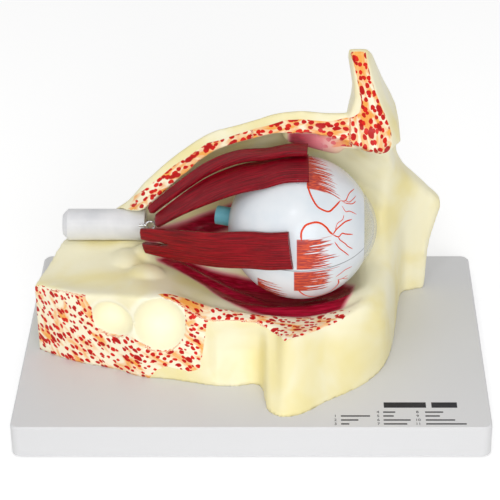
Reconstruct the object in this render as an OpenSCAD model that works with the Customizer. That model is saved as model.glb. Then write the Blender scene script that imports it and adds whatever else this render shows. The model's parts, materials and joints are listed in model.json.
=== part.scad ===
// Enlarged eye in its bony orbit, on a board. Millimetres, +Z up, +X the way the eye looks,
// origin at the middle of the footprint, on the surface that the model stands on.

/* [Eyeball] */
// Diameter of the eyeball; the orbit and the muscles are enlarged with it
eye_d = 80; // [72:1:86]
// Wall of the sclera halves
sclera_t = 4; // [3.6:0.2:5]
// Wall of the choroid halves
choroid_t = 2; // [1.6:0.2:3]
// Space between one nested shell and the next
shell_gap = 0.3; // [0.2:0.05:0.6]
// Width of the seam between upper and lower halves
seam_gap = 0.2; // [0.1:0.05:0.4]
// Roll of the seam towards the open side, degrees
seam_roll = 6.5; // [0:0.5:12]
// Diameter of the opening for the cornea
opening_d = 38; // [34:1:40]
// Radius of the cornea's dome
cornea_dome_r = 27.5; // [24:0.5:34]
// Wall of the cornea
cornea_t = 1.4; // [1:0.1:2]
// Diameter of the iris
iris_d = 36.8; // [35:0.2:37.4]
// Thickness of the iris
iris_t = 1.4; // [1:0.1:2]
// Diameter of the pupil
pupil_d = 10; // [6:0.5:14]
// Diameter of the lens
lens_d = 26; // [22:0.5:29]
// Thickness of the lens
lens_t = 11; // [8:0.5:12]
// Space between the lens and the iris
lens_to_iris = 1.7; // [1.7:0.1:3]
// Diameter of the optic nerve's stub
stub_d = 10.5; // [8:0.5:14]
// Length of the stub outside the sclera
stub_out = 8; // [5:0.5:12]
// Angle of the stub towards the nose, degrees
stub_angle = 14; // [8:1:20]

/* [Muscles] */
// Thickness of the superior and lateral rectus
strap_t = 3.8; // [3:0.2:4.4]
// Space between a muscle and the sclera
strap_gap = 0.5; // [0.4:0.1:0.8]
// Thickness of the levator
levator_t = 4.4; // [3.4:0.2:4.8]
// Width of the slot between the two heads of the lateral rectus
head_slot = 2.4; // [1.6:0.2:3.2]

/* [Pins] */
// Diameter of the dowel pins in the seam
seam_pin_d = 2.4; // [1.8:0.1:2.6]
// Length of a seam pin above and below the seam
seam_pin_reach = 3; // [2:0.5:4]
// Diameter of the pins that hold the muscles
muscle_pin_d = 2.2; // [1.8:0.1:2.6]
// Depth of the muscle pins in the sclera
muscle_pin_depth = 2.6; // [2:0.1:3]
// Diameter of the peg that carries the eyeball
peg_d = 6; // [5:0.5:8]
// Depth of the peg in the sclera
peg_depth = 2.8; // [2:0.1:3]
// Depth of the peg in the bone
peg_in_bone = 9; // [6:0.5:10]
// Rise of the line along which the eyeball comes out, degrees
pull_rise = 15; // [12:1:20]
// Radial clearance of a pin in its hole
pin_clear = 0.05; // [0.03:0.01:0.1]
// Diameter of the wire of the hook
hook_wire_d = 1.4; // [1:0.1:2]
// Diameter of the ring of the hook
hook_ring_d = 5; // [4:0.5:7]

/* [Optic nerve trunk] */
// Diameter of the trunk in the optic canal
trunk_d = 18; // [15:0.5:20]
// Clearance of the trunk in its groove
trunk_clear = 0.15; // [0.1:0.05:0.3]

/* [Board] */
// Length of the board
board_l = 260; // [240:5:320]
// Depth of the board
board_w = 180; // [168:4:240]
// Thickness of the board
board_t = 18.5; // [14:0.5:26]
// Radius of the board's corners
board_corner_r = 5; // [2:1:20]
// Chamfer round the board's top edge
board_edge = 1; // [0.5:0.25:2]
// Diameter of a foot
foot_d = 16; // [10:1:24]
// Height of a foot
foot_h = 1.5; // [1:0.5:6]
// Distance of a foot's middle from the board's edges
foot_inset = 20; // [14:1:30]
// Shank diameter of the screws from below
screw_d = 4; // [3:0.5:5]
// Head diameter of the screws
screw_head_d = 8; // [7:0.5:10]
// Length of thread in the bone
screw_grip = 12; // [8:1:14]

/* [Hidden] */
$fn = 96;

board_top = foot_h + board_t;
eye_r = eye_d / 2;
grown = eye_r / 40; // the tables below are drawn for an eyeball of 40 mm radius
eye_at = [26.4 * grown, 0, board_top + 72.5 * grown];

choroid_ro = eye_r - sclera_t - shell_gap;
choroid_ri = choroid_ro - choroid_t;
vitreous_r = choroid_ri - shell_gap;
opening_x = sqrt(pow(eye_r, 2) - pow(opening_d / 2, 2));
iris_ledge = 0.6;
iris_x = sqrt(pow(choroid_ri, 2) - pow(iris_d / 2 - iris_ledge, 2));
choroid_front = iris_x + iris_t;
lens_x = iris_x - lens_to_iris - lens_t / 2;
lens_face_r = (pow(lens_d / 2, 2) + pow(lens_t / 2, 2)) / lens_t;
lens_edge = 0.4; // how far the lens's rim is turned down
spigot_r = opening_d / 2 - 0.15;
dome_x = opening_x - sqrt(pow(cornea_dome_r, 2) - pow(opening_d / 2, 2));
big = 4 * eye_r;

// Catmull-Rom point between p[1] and p[2]
function curve(p, t) = 0.5 * (2 * p[1] + (p[2] - p[0]) * t
    + (2 * p[0] - 5 * p[1] + 4 * p[2] - p[3]) * t * t
    + (3 * p[1] - p[0] - 3 * p[2] + p[3]) * t * t * t);
function around(list, i) =
    [for (k = [-1:2]) list[min(max(i + k, 0), len(list) - 1)]];
// A list of points or rows made finer, n steps between each two
function finer(list, n) = [for (i = [0:len(list) - 2], s = [0:n - 1])
    curve(around(list, i), s / n), list[len(list) - 1]];
function straight(a, b, n) = [for (s = [0:n - 1]) a + (b - a) * s / n];
function but_last(list) = [for (i = [0:len(list) - 2]) list[i]];
function unit(v) = v / norm(v);

// A closed skin over rings of equal length
module skin(rings) {
    n = len(rings[0]);
    last = len(rings) - 1;
    points = [for (ring = rings) each ring];
    sides = [for (r = [0:last - 1], i = [0:n - 1])
        each [[r * n + i, r * n + (i + 1) % n, (r + 1) * n + i],
              [r * n + (i + 1) % n, (r + 1) * n + (i + 1) % n, (r + 1) * n + i]]];
    polyhedron(points, concat(
        [[for (i = [n - 1:-1:0]) i]],
        sides,
        [[for (i = [0:n - 1]) last * n + i]]));
}

// ---- The bone. Each row is a section across X: its place, then [y, height over the board] of
// the ground line, the cut's outer and inner edge, the floor's dip, ridge, trough and inner
// side, the wall, the roof inside, the roof cut's lower and upper edge, the top and the back.
bone_back = 60;
bone_sections = [
    [-122, [[-14, 0], [-14, 43], [-12.5, 44], [-6, 44.5], [0, 45], [6, 46], [13, 47.5],
        [20, 49], [30, 50], [38, 52], [41, 53], [45, 51], [bone_back, 42]]],
    [-105, [[-23.5, 0], [-23.5, 45], [-22, 46], [-12, 44.5], [-4, 45], [4, 46], [12, 47.5],
        [19, 49], [29, 50], [37, 53], [40, 55], [45, 52], [bone_back, 43]]],
    [-90, [[-29.5, 0], [-29.5, 45.5], [-28, 46.5], [-18, 45.5], [-8, 46], [0, 47], [10, 48],
        [18, 49], [32, 52], [31, 60.5], [33, 62], [37, 62], [bone_back, 47]]],
    [-75, [[-34.5, 0], [-34.5, 48], [-33, 49], [-22, 48], [-10, 48], [0, 47.5], [9, 48],
        [18, 49], [39.5, 57], [27, 67.5], [29, 70.5], [33, 71], [bone_back, 52]]],
    [-62, [[-42, 0], [-41, 50.6], [-39, 51.6], [-28, 51], [-16, 49.5], [-4, 47], [8, 46],
        [22, 47.5], [38, 60], [17, 74], [24, 84.5], [29, 84.8], [bone_back, 62]]],
    [-45, [[-44.5, 0], [-41, 50.5], [-36, 51], [-28, 49], [-16, 47], [-2, 45], [12, 44],
        [32, 56], [34, 80], [16, 90.5], [24, 100.5], [29, 101.2], [bone_back, 78]]],
    [-25, [[-50, 0], [-40.5, 37], [-33, 42], [-27, 38.5], [-17, 38], [-5, 36], [14, 34],
        [40, 60], [34, 98], [16, 109], [24, 115.5], [29, 116], [bone_back, 92]]],
    [-10, [[-52, 0], [-40, 36.8], [-33, 38.5], [-27, 34.5], [-18, 34], [-6, 29], [16, 30],
        [43, 65], [33, 106], [16, 116], [24, 120.5], [29, 120.9], [bone_back, 97]]],
    [4, [[-50.5, 0], [-40, 34.8], [-34, 36.5], [-27, 32], [-19.5, 33], [-7, 26], [18, 28],
        [44, 70], [32, 111], [16, 120], [24, 125], [29, 125.4], [bone_back, 101]]],
    [8, [[-73, 0], [-41, 34.5], [-33, 35.8], [-27, 31.8], [-20, 32.7], [-7, 25.4], [19, 28],
        [44.5, 70.7], [32, 112.3], [16, 121.3], [24, 126.7], [29, 127.1], [bone_back, 103]]],
    [13, [[-79.5, 0], [-43, 34], [-32.7, 34.8], [-27, 31.3], [-20, 32.9], [-7, 25], [20, 28],
        [45, 71.3], [32, 113.3], [16, 122.2], [24, 128], [29, 128.5], [bone_back, 104.5]]],
    [18, [[-81, 0], [-54, 33.5], [-32.5, 34], [-27, 31.2], [-20, 33], [-7, 25], [20, 28],
        [45, 72], [32, 114], [16, 122.5], [24, 129], [29, 129.4], [bone_back, 105]]],
    [28, [[-77.5, 0], [-51, 35], [-32, 33], [-27, 31], [-20, 33.5], [-7, 25], [20, 28],
        [45, 72], [32, 114], [16, 122.5], [24, 130], [29, 130.2], [bone_back, 106]]],
    [40, [[-67, 0], [-43, 35.5], [-31, 35], [-26, 33], [-19, 35], [-6, 27], [19, 30],
        [43, 72], [31, 113], [16, 121], [24, 128.6], [29, 129], [bone_back, 105]]],
    [52, [[-58, 0], [-38, 38], [-30, 38], [-25, 36], [-17, 38], [-5, 32], [18, 36],
        [40, 72], [30, 110], [16, 117.3], [24, 128], [29, 129], [bone_back, 105]]],
    [64, [[-47, 0], [-31, 40], [-27, 41.5], [-22, 42], [-14, 42.5], [-3, 42], [14, 47],
        [33, 70], [28, 100], [16, 112.6], [24, 126], [29, 128], [bone_back, 105]]],
    [74, [[-31, 0], [-26, 24], [-23, 31], [-16, 37], [-8, 40], [0, 42], [12, 46],
        [28, 67], [27, 93], [18, 111], [23, 119], [29, 120], [bone_back, 104]]],
    [80, [[-6, 0], [-4, 8], [-2, 16], [2, 24], [8, 31], [14, 37], [22, 45],
        [33, 60], [34, 78], [31, 92], [33, 97], [38, 98], [bone_back, 94]]],
    [86, [[43, 0], [43, 7], [43, 14], [43, 21], [42.5, 29], [42, 37], [41.5, 47],
        [41, 58], [41, 70], [41, 79], [43, 82], [47, 83], [bone_back, 82]]],
    [93, [[49.5, 0], [49.5, 7], [49.5, 14], [49.5, 21], [49, 29], [48.5, 37], [48, 46],
        [47.5, 55], [47.5, 64], [47.5, 71], [49, 74], [52, 75], [bone_back, 75]]],
    [100, [[52, 0], [52, 7], [52, 14], [52, 21], [51.5, 28], [51, 36], [50.5, 44],
        [50, 51], [50, 58], [50, 64], [51.5, 67], [54, 68], [bone_back, 68]]]];
// The rear end slants: it lies farther forward towards the nose
rear_slant = 0.32;
rear_slant_ends_x = -62;
function slant(x, y) = rear_slant * (y - bone_sections[0][1][0][0])
    * max(0, (rear_slant_ends_x - x) / (rear_slant_ends_x - bone_sections[0][0]));
// The front face sinks in beside the maxilla
recess_x = [-25, 8];
recess_edge = 4;
recess_depth = 5;
function recess(x) = recess_depth
    * max(0, min(1, (x - recess_x[0]) / recess_edge, (recess_x[1] - x) / recess_edge));
function bone_ring(row) =
    let (p = row[1],
         front = straight(p[0], p[1], 4),
         floor_to_roof = finer([for (i = [2:9]) p[i]], 3),
         top_to_back = finer([for (i = [10:12]) p[i]], 3),
         outline = concat(
            [for (i = [0:3]) front[i] + [recess(row[0]) * sin(45 * i), 0]],
            straight(p[1], p[2], 2),
            but_last(floor_to_roof), straight(p[9], p[10], 3),
            but_last(top_to_back), straight(p[12], [bone_back, 0], 4),
            straight([bone_back, 0], p[0], 5)))
    [for (q = outline) grown * [row[0] + slant(row[0], q[0]), q[0], q[1]]];
section_flat = [for (s = bone_sections) concat([s[0]], [for (p = s[1]) each p])];
section_fine = finer(section_flat, 3);
bone_rows = [for (s = section_fine)
    [s[0], [for (i = [0:12]) [s[1 + 2 * i], s[2 + 2 * i]]]]];

// The frontal bone's rising part: height, x of the cut face's and of the back's sides, back
squama_face_y = 22;
squama_levels = [
    [168.5, 55, 60.5, 53.5, 62.5, 26], [163, 55.5, 62.5, 53.5, 65, 33],
    [150, 57, 66, 55.5, 69, 42], [140, 57.5, 69, 57, 72, 50], [129, 54, 73.5, 56.5, 76.5, 56],
    [120, 51, 76, 55, 80, 58], [110, 52, 77, 55, 82, 58]];
squama_root = [[62, 38, 112], [79, 36, 112], [79, 57, 112], [62, 57, 112], [66, 45, 86],
    [80, 44, 86], [82, 57, 82]];
// The tip of the nose: outline in X and height over the board
nose_face_y = 50.5;
nose_tip = [[98, 69], [105, 63], [108.3, 59], [108.6, 55], [106.5, 47], [103.7, 36],
    [102.3, 27], [101.5, 15], [101, 0], [98, 0]];
// The two lobes of the sinus that the cut has opened: middle and radii
sinus_lobes = [[[-78, -38, 33.5], [12.5, 17, 10.8]], [[-51, -48, 34.5], [15.5, 21, 17.2]]];
// Swellings of the shelf under the nerve trunk
shelf_swellings = [[[-72, 8, 40], [13, 16, 11]], [[-60, -10, 40], [14, 15, 12]],
    [[-62, 14, 42], [9, 10, 10]]];
// Muscle relief cast with the bone: places and radii along its length
inferior_relief = [[-44, 8, 40, 5], [-30, 4, 31, 7], [-14, 0, 23, 8], [4, -6, 18, 8.5],
    [22, -9, 16, 9], [42, -8, 20, 9]];
medial_relief = [[-57, 29, 48, 4.5], [-36, 38, 49, 7], [-20, 44.5, 51, 8.5], [-8, 48, 55, 9],
    [14, 51, 62, 9], [40, 48, 66, 8]];
oblique_relief = [[22, 27, 118, 6], [36, 25, 116, 7], [46, 27, 111, 6]];

module at_board() { translate([0, 0, board_top]) children(); }
module ball(p) { translate([p[0], p[1], p[2]] * grown) sphere(p[3] * grown, $fn = 20); }
module relief(list) {
    for (i = [0:len(list) - 2]) hull() { ball(list[i]); ball(list[i + 1]); }
}
module squama_level(v) {
    for (x = [v[1], v[2]]) translate([x, squama_face_y + 1, v[0]] * grown)
        sphere(grown, $fn = 12);
    for (x = [v[3], v[4]], y = [min(squama_face_y + 9, v[5]), v[5]])
        translate([x, y, v[0]] * grown) sphere(grown, $fn = 12);
}
module squama() {
    for (i = [0:len(squama_levels) - 2])
        hull() { squama_level(squama_levels[i]); squama_level(squama_levels[i + 1]); }
    hull() for (p = squama_root) translate(p * grown) sphere(grown, $fn = 12);
}
module nose() {
    edge = 2;
    rotate([90, 0, 0]) {
        translate([0, 0, -bone_back * grown])
            linear_extrude((bone_back - nose_face_y - edge) * grown) scale(grown)
                polygon(nose_tip);
        translate([0, 0, -(bone_back - edge) * grown])
            linear_extrude((bone_back - nose_face_y - edge) * grown) scale(grown)
                offset(delta = -edge) polygon(nose_tip);
    }
}
// Ellipsoids, each given by its middle and radii
module ellipsoids(list, sides) {
    for (e = list) translate(e[0] * grown) scale(e[1] / e[1][0])
        sphere(e[1][0] * grown, $fn = sides);
}
module bone_screw_holes() {
    for (p = screw_places)
        translate([p[0], p[1], -1]) cylinder(d = screw_d + 2 * pin_clear,
            h = screw_grip + 2, $fn = 24);
}
module bony_orbit() {
    color("#efe6b4") difference() {
        at_board() difference() {
            union() {
                skin([for (row = bone_rows) bone_ring(row)]);
                squama();
                nose();
                ellipsoids(shelf_swellings, 24);
                relief(inferior_relief);
                relief(medial_relief);
                relief(oblique_relief);
            }
            ellipsoids(sinus_lobes, 36);
            bone_screw_holes();
            translate([-big, -big, -big]) cube([2 * big, 2 * big, big]);
            translate([-big, bone_back * grown, 0]) cube([2 * big, big, 2 * big]);
        }
        trunk_solid(trunk_clear);
        peg_solid(pin_clear);
    }
}

// ---- The board and what holds it
screw_places = [for (p = [[-86, 30], [-20, 44], [50, 40], [28, -50]]) p * grown];
module base_board() {
    color("#d9d9db") difference() {
        translate([-board_l / 2, -board_w / 2, foot_h]) rounded_board();
        for (p = screw_places) translate([p[0], p[1], foot_h]) {
            translate([0, 0, -1]) cylinder(d = screw_d + 2 * pin_clear, h = board_t + 2);
            translate([0, 0, -0.01]) cylinder(d1 = screw_head_d + 0.6, d2 = screw_d,
                h = (screw_head_d - screw_d) / 2 + 0.6);
        }
    }
}
module rounded_board() {
    r = board_corner_r;
    corners = [[r, r], [board_l - r, r], [board_l - r, board_w - r], [r, board_w - r]];
    hull() for (c = corners) translate(c) {
        cylinder(r = r, h = board_t - board_edge);
        cylinder(r = r - board_edge, h = board_t);
    }
}
module rubber_feet() {
    x = board_l / 2 - foot_inset;
    y = board_w / 2 - foot_inset;
    color("#2b2b2d") for (sx = [-1, 1], sy = [-1, 1])
        translate([sx * x, sy * y, 0]) cylinder(d = foot_d, h = foot_h);
}
module base_screws() {
    head_h = (screw_head_d - screw_d) / 2;
    color("#b9bbbe") for (p = screw_places) translate([p[0], p[1], foot_h + 0.3]) {
        cylinder(d1 = screw_head_d, d2 = screw_d, h = head_h);
        cylinder(d = screw_d, h = board_t + screw_grip - 0.3);
    }
}

// ---- The nerve trunk in the optic canal, its hook and the eyeball's peg
trunk_from = [-109, 28, 58] * grown;
trunk_l = 47 * grown;
trunk_edge = 3; // how far the trunk's cut end is turned down
module trunk_solid(extra) {
    at_board() translate(trunk_from) rotate([0, 90, 0])
        cylinder(d = trunk_d * grown + 2 * extra, h = trunk_l);
}
module trunk_blank() {
    at_board() translate(trunk_from) rotate([0, 90, 0]) {
        cylinder(d1 = trunk_d * grown - 2 * trunk_edge, d2 = trunk_d * grown, h = trunk_edge);
        translate([0, 0, trunk_edge]) cylinder(d = trunk_d * grown, h = trunk_l - trunk_edge);
    }
}
hook_at = [trunk_from[0] + trunk_l, 20 * grown, 62 * grown];
hook_stem = 3;
module optic_nerve_trunk() {
    color("#e4e3e1") difference() {
        trunk_blank();
        at_board() translate([hook_at[0] - hook_stem, hook_at[1], hook_at[2]]) rotate([0, 90, 0])
            cylinder(d = hook_wire_d + 2 * pin_clear, h = hook_stem + 1);
    }
}
module muscle_hook() {
    color("#c4c6c9") at_board() translate(hook_at) {
        translate([-hook_stem, 0, 0]) rotate([0, 90, 0])
            cylinder(d = hook_wire_d, h = hook_stem + 1.4);
        translate([(hook_ring_d + hook_wire_d) / 2 + 0.4, 0, 0]) rotate([90, 0, 0])
            rotate_extrude() translate([hook_ring_d / 2, 0]) circle(d = hook_wire_d, $fn = 32);
    }
}
// Along the way the eyeball comes out, from its middle towards the wall
module along_pull() { translate(eye_at) rotate([-90 - pull_rise, 0, 0]) children(); }
peg_wall = 46.5 * grown; // from the eyeball's middle to the orbit's wall
module peg_solid(extra) {
    along_pull() translate([0, 0, eye_r - peg_depth])
        cylinder(d = peg_d + 2 * extra, h = peg_wall - eye_r + peg_depth + peg_in_bone);
}
module eyeball_peg() { color("#c4c6c9") peg_solid(0); }

// ---- The eyeball, in its own frame: x to the cornea, z across the seam
module in_eye() { translate(eye_at) rotate([seam_roll, 0, 0]) children(); }
module half(sign) {
    translate([-big / 2, -big / 2, sign > 0 ? seam_gap / 2 : -big - seam_gap / 2])
        cube([big, big, big]);
}
module along_x(from, r, h) { translate([from, 0, 0]) rotate([0, 90, 0]) cylinder(r = r, h = h); }
seam_pin_angles = [52, 118, 236, 306];
module seam_pin_set(extra) {
    for (a = seam_pin_angles) rotate([0, 0, a]) translate([eye_r - sclera_t / 2, 0, 0])
        cylinder(d = seam_pin_d + 2 * extra, h = 2 * (seam_pin_reach + extra), center = true);
}
module stub_solid(extra, out) {
    rotate([0, 0, 180 - stub_angle]) rotate([0, 90, 0])
        translate([0, 0, choroid_ro + 2 * shell_gap])
            cylinder(d = stub_d + 2 * extra, h = eye_r + out - choroid_ro - 2 * shell_gap);
}
module sclera_half(sign) {
    intersection() {
        difference() {
            sphere(eye_r);
            sphere(eye_r - sclera_t);
            along_x(0, opening_d / 2, big);
            stub_solid(sign > 0 ? 3 * pin_clear : pin_clear, stub_out + 1);
            seam_pin_set(pin_clear);
        }
        half(sign);
    }
}
module sclera_lower() {
    color("#ececec") difference() {
        in_eye() sclera_half(-1);
        peg_solid(pin_clear);
    }
}
module sclera_upper() {
    color("#ececec") difference() {
        in_eye() sclera_half(1);
        lateral_pin_set(pin_clear);
        superior_pin_set(pin_clear);
    }
}
module seam_pins() { color("#c4c6c9") in_eye() seam_pin_set(0); }
module choroid_half(sign) {
    intersection() {
        difference() {
            sphere(choroid_ro);
            sphere(choroid_ri);
            along_x(iris_x, iris_d / 2 + pin_clear, big);
            translate([choroid_front, -big / 2, -big / 2]) cube(big);
        }
        half(sign);
    }
}
module choroid_lower() { color("#8a3a22") in_eye() choroid_half(-1); }
module choroid_upper() { color("#8a3a22") in_eye() choroid_half(1); }
module iris_half(sign) {
    intersection() {
        difference() {
            along_x(iris_x, iris_d / 2, iris_t);
            along_x(iris_x - 1, pupil_d / 2, iris_t + 2);
        }
        half(sign);
    }
}
module iris_lower() { color("#4f7fa8") in_eye() iris_half(-1); }
module iris_upper() { color("#4f7fa8") in_eye() iris_half(1); }
// Half profiles, turned about the eye's x axis
module turned() { rotate([0, 90, 0]) rotate_extrude() children(); }
module lens_profile(extra) {
    intersection() {
        translate([0, lens_x + lens_face_r - lens_t / 2]) circle(lens_face_r + extra);
        translate([0, lens_x - lens_face_r + lens_t / 2]) circle(lens_face_r + extra);
        translate([0, lens_x - lens_t]) square([lens_d / 2 - lens_edge + extra, 2 * lens_t]);
    }
}
module lens() { color("#e8f0f2") in_eye() turned() lens_profile(0); }
module vitreous_body() {
    color("#dfeef0") in_eye() turned() difference() {
        intersection() {
            circle(vitreous_r);
            translate([0, -vitreous_r]) square([vitreous_r, vitreous_r + lens_x]);
        }
        lens_profile(shell_gap);
    }
}
spigot_from = choroid_front + 1;
module cornea_profile() {
    intersection() {
        difference() {
            translate([0, dome_x]) circle(cornea_dome_r);
            translate([0, dome_x]) circle(cornea_dome_r - cornea_t);
        }
        translate([0, opening_x - 0.4]) square([spigot_r, big]);
    }
    translate([spigot_r - cornea_t, spigot_from]) square([cornea_t, opening_x - spigot_from]);
}
module cornea() { color("#eef4f5", 0.4) in_eye() turned() cornea_profile(); }
module optic_nerve_stub() { color("#78bccc") in_eye() stub_solid(0, stub_out); }

// ---- The muscles: straps swept along their middle lines
// A row is [x, y, height, then a vector across, half width, half thickness, bend]
strap_sides = 20;
squareness = 4;
function rounded(a) = sign(a) * pow(abs(a), 2 / squareness);
function strap_ring(rows, i) =
    let (p = rows[i],
         before = rows[max(i - 1, 0)], after = rows[min(i + 1, len(rows) - 1)],
         mid = [p[0], p[1], p[2]],
         way = unit([after[0] - before[0], after[1] - before[1], after[2] - before[2]]),
         out = unit(cross(way, [p[3], p[4], p[5]])),
         across = cross(out, way))
    [for (k = [0:strap_sides - 1])
        let (a = -360 * k / strap_sides,
             w = p[6] * rounded(cos(a)),
             h = p[7] * rounded(sin(a)) - p[8] * w * w / 2)
        mid + w * across + h * out];
// The first row closes the rear end and stays out of the curve, which would fold back there
module strap(rows, steps) {
    fine = concat([rows[0]], finer([for (i = [1:len(rows) - 1]) rows[i]], steps));
    at_board() skin([for (i = [0:len(fine) - 1]) strap_ring(fine, i)]);
}
// A point of the strap's middle line that lies on the eyeball, given by x and height
eye_h = eye_at[2] - board_top;
strap_r = eye_r + strap_gap + strap_t / 2;
side_ease = 0.5; // more room under the lateral rectus, whose rows lie far apart
function on_lateral(x, h) =
    [x, -sqrt(pow(strap_r + side_ease, 2) - pow(x - eye_at[0], 2) - pow(h - eye_h, 2)), h];
function on_top(x, y, r) =
    [x, y, eye_h + sqrt(pow(r, 2) - pow(x - eye_at[0], 2) - pow(y, 2))];
function row(p, across, half_w, half_t, bend) = concat(p, across, [half_w, half_t, bend]);
bend = 1 / eye_r;
g = grown; // short, for the tables
// A row on the eyeball's side, its vector across level with the eyeball's skin
function lateral_row(x, h, lean, half_w) =
    let (p = on_lateral(x * g, h * g),
         rise = p[2] - eye_h + lean * (p[0] - eye_at[0]))
    row(p, [lean, -rise / p[1], 1], half_w * g, 0.5 * strap_t, bend);
lateral_rows = [
    row([-62.5, 6.5, 60] * g, [0, 0, 1], 5.5 * g, 0.3 * strap_t, 0),
    row([-61.5, 6, 60.2] * g, [0, 0, 1], 7.6 * g, 0.48 * strap_t, 0),
    row([-52, -0.5, 62.5] * g, [0, 0, 1], 8.6 * g, 0.5 * strap_t, 0),
    row([-40, -9, 65.5] * g, [0, 0, 1], 9.6 * g, 0.5 * strap_t, 0.004),
    row([-20, -22.6, 70.8] * g, [0, 0, 1], 10.6 * g, 0.5 * strap_t, 0.5 * bend),
    lateral_row(-2, 76, 0, 10.8),
    lateral_row(10, 79.5, 0.05, 10.6),
    lateral_row(21, 81.5, -0.12, 10.6)];
superior_rows = [
    row([-54.5, 8.9, 71] * g, [0, 0.8, 0.6], 2.6 * g, 0.35 * strap_t, 0),
    row([-53.5, 8.4, 71.7] * g, [0, 0.8, 0.6], 4 * g, 0.5 * strap_t, 0),
    row([-40, 3.5, 84.1] * g, [0, 0.8, 0.6], 5.8 * g, 0.5 * strap_t, 0.004),
    row([-24, -0.5, 96.5] * g, [0, 0.9, 0.4], 9 * g, 0.5 * strap_t, 0.6 * bend),
    row([-8, -4, 105.6] * g, [0, 0.96, 0.28], 10.6 * g, 0.5 * strap_t, 0.8 * bend),
    row(on_top(6 * g, -5.5 * g, strap_r + 0.8), [0, 0.98, 0.18], 11.6 * g, 0.5 * strap_t, bend),
    row(on_top(18 * g, -5.5 * g, strap_r), [0, 0.99, 0.13], 12 * g, 0.5 * strap_t, bend),
    row(on_top(31 * g, -5.5 * g, strap_r), [0, 0.99, 0.13], 12 * g, 0.5 * strap_t, bend)];
levator_r = eye_r + 2 * strap_gap + strap_t + levator_t / 2;
levator_rows = [
    row([-58, 13, 75.6] * g, [0, 0.7, 0.7], 1.8 * g, 0.3 * levator_t, 0),
    row([-57, 12.9, 76.5] * g, [0, 0.7, 0.7], 2.7 * g, 0.42 * levator_t, 0),
    row([-40, 10.8, 92.2] * g, [0, 0.75, 0.65], 3.4 * g, 0.45 * levator_t, 0),
    row([-24, 8.6, 105.2] * g, [0, 0.9, 0.4], 4.2 * g, 0.48 * levator_t, 0),
    row([-8, 7.4, 112.7] * g, [0, 1, 0.1], 5.2 * g, 0.5 * levator_t, 0),
    row(on_top(8 * g, 6 * g, levator_r + 0.4), [0, 1, -0.1], 6 * g, 0.5 * levator_t, bend),
    row(on_top(20 * g, 5 * g, levator_r), [0, 1, -0.1], 6.4 * g, 0.5 * levator_t, bend),
    row(on_top(30.5 * g, 4.5 * g, levator_r), [0, 1, -0.1], 6.4 * g, 0.5 * levator_t, bend)];

lateral_pin_places = [[17, 76] * g, [18.5, 88] * g]; // x and height over the board
module lateral_pin_set(extra) {
    for (p = lateral_pin_places) {
        skin_y = -sqrt(pow(eye_r, 2) - pow(p[0] - eye_at[0], 2) - pow(p[1] - eye_h, 2));
        at_board() translate([p[0], skin_y + muscle_pin_depth + extra, p[1]]) rotate([90, 0, 0])
            cylinder(d = muscle_pin_d + 2 * extra,
                h = muscle_pin_depth + strap_gap + 0.6 * strap_t + 2 * extra);
    }
}
lift_lean = 14; // lean of the superior pins towards the open side, degrees
superior_pin_places = [-6 * g, 6 * g]; // across the strap
superior_pin_x = 25 * g;
module superior_pin_set(extra) {
    for (w = superior_pin_places)
        translate(eye_at) rotate([lift_lean, 0, 0]) translate([superior_pin_x - eye_at[0], w, 0])
            translate([0, 0, sqrt(pow(eye_r, 2) - w * w) - muscle_pin_depth - extra])
                cylinder(d = muscle_pin_d + 2 * extra,
                    h = muscle_pin_depth + strap_gap + 0.6 * strap_t + 2 * extra);
}
module lateral_rectus() {
    color("#8c1420") difference() {
        strap(lateral_rows, 3);
        lateral_pin_set(pin_clear);
        at_board() translate([-62, 6, 60] * g) rotate([0, -13, -35])
            translate([-6 * g, -6, -head_slot / 2]) cube([20 * g, 12, head_slot]);
    }
}
module superior_rectus() {
    color("#8c1420") difference() {
        strap(superior_rows, 3);
        superior_pin_set(pin_clear);
    }
}
module levator_palpebrae() { color("#7a101c") strap(levator_rows, 3); }
module lateral_rectus_pins() { color("#c4c6c9") lateral_pin_set(0); }
module superior_rectus_pins() { color("#c4c6c9") superior_pin_set(0); }

base_board();
rubber_feet();
base_screws();
bony_orbit();
optic_nerve_trunk();
muscle_hook();
eyeball_peg();
sclera_lower();
sclera_upper();
seam_pins();
choroid_lower();
choroid_upper();
iris_lower();
iris_upper();
lens();
vitreous_body();
cornea();
optic_nerve_stub();
superior_rectus();
levator_palpebrae();
superior_rectus_pins();
lateral_rectus();
lateral_rectus_pins();
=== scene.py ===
"""The look of an enlarged eye in its bony orbit, on a board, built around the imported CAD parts.

Places and sizes in the tables are millimetres; heights there are over the board's top, as in
the CAD source. Blender's own units are metres, so they pass through MM.
"""
import json
import math
import random

import bmesh
import bpy
import numpy as np
from mathutils import Matrix, Vector


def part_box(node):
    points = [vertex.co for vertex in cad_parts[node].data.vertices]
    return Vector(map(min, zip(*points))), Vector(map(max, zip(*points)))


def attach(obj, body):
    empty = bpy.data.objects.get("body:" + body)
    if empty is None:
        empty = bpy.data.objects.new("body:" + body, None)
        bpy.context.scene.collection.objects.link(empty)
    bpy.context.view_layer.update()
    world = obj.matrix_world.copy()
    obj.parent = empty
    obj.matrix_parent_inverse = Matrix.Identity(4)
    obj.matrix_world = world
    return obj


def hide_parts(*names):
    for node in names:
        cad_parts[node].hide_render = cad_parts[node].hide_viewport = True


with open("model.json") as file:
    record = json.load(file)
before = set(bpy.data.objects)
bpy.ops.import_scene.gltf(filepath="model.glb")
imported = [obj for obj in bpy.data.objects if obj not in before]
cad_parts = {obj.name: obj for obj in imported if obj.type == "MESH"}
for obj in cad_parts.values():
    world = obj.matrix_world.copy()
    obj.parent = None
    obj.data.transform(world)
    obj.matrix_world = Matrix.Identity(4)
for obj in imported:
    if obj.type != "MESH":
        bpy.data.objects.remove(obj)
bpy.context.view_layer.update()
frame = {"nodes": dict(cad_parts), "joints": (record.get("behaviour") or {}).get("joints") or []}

MM = 0.001

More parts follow.
